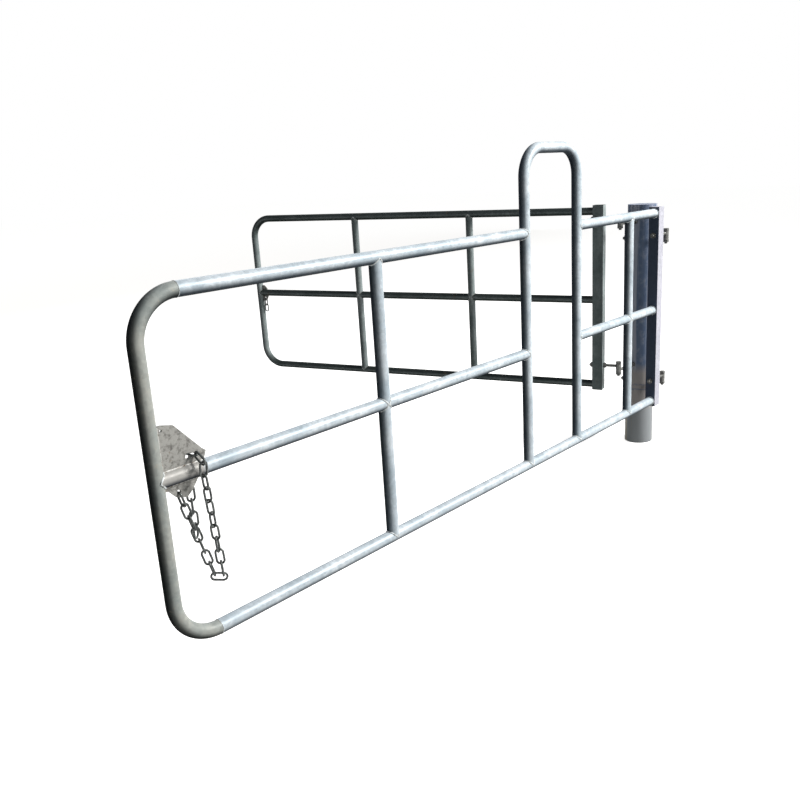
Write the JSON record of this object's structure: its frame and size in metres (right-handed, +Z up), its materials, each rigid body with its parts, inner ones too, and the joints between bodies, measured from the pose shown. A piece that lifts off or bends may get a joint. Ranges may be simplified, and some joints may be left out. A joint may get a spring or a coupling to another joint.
{
  "type": "field gate on a post",
  "caption": "Galvanised tube cattle gate: a leaf with a man-pass hoop and a lighter leaf, both hinged on one round steel post.",
  "frame": {"origin": "centre of the post's flat foot, at ground level", "axes": "+Z up along the post; the front leaf stands along -X at rest; the rear leaf stands open towards +Y"},
  "size_m": [3.4389, 2.6108, 1.7512],
  "materials": {
    "post_steel": "weathered galvanised steel, slate blue, brown streaks low down",
    "galvanised_tube": "hot-dip galvanised, spangled, satin",
    "rear_tube": "dull weathered galvanised steel",
    "chain_plate": "rough galvanised plate with stains",
    "chain_steel": "dark weathered zinc-plated chain",
    "bolt_zinc": "dull zinc-plated threads, dirt in the roots"
  },
  "bodies": {
    "post": {"post_tube": "post_steel", "post_cap": "post_steel", "post_rod_front_lower": "bolt_zinc", "post_rod_front_upper": "bolt_zinc", "post_rod_rear_lower": "bolt_zinc", "post_rod_rear_upper": "bolt_zinc", "pin_front_lower": "bolt_zinc", "pin_front_upper": "bolt_zinc", "pin_rear_lower": "bolt_zinc", "pin_rear_upper": "bolt_zinc"},
    "front_leaf": {"front_stile": "galvanised_tube", "front_bottom_rail": "galvanised_tube", "front_top_rail_outer": "galvanised_tube", "front_top_rail_inner": "galvanised_tube", "front_end_tube": "galvanised_tube", "front_mid_rail_outer": "galvanised_tube", "front_mid_rail_middle": "galvanised_tube", "front_mid_rail_inner": "galvanised_tube", "front_mid_rail_hinge": "galvanised_tube", "front_brace_outer": "galvanised_tube", "front_brace_inner": "galvanised_tube", "man_pass_hoop": "galvanised_tube", "front_chain_plate": "chain_plate", "front_chain": "chain_steel", "front_chain_tail": "chain_steel", "front_rod_lower": "bolt_zinc", "front_rod_upper": "bolt_zinc"},
    "rear_leaf": {"rear_stile": "rear_tube", "rear_bottom_rail": "rear_tube", "rear_top_rail": "rear_tube", "rear_end_tube": "rear_tube", "rear_mid_rail_outer": "rear_tube", "rear_mid_rail_middle": "rear_tube", "rear_mid_rail_inner": "rear_tube", "rear_brace_outer": "rear_tube", "rear_brace_inner": "rear_tube", "rear_chain_plate": "chain_plate", "rear_chain": "chain_steel", "rear_rod_lower": "bolt_zinc", "rear_rod_upper": "bolt_zinc"}
  },
  "joints": [
    {"name": "front_leaf_swing", "type": "hinge", "parent": "post", "child": "front_leaf", "pos_m": [0.04697, -0.12496, 0.408], "axis": [0, 0, 1], "range_deg": [-5, 175]},
    {"name": "rear_leaf_swing", "type": "hinge", "parent": "post", "child": "rear_leaf", "pos_m": [-0.24985, 0.00872, 0.512], "axis": [0, 0, 1], "range_deg": [-70, 60]}
  ]
}
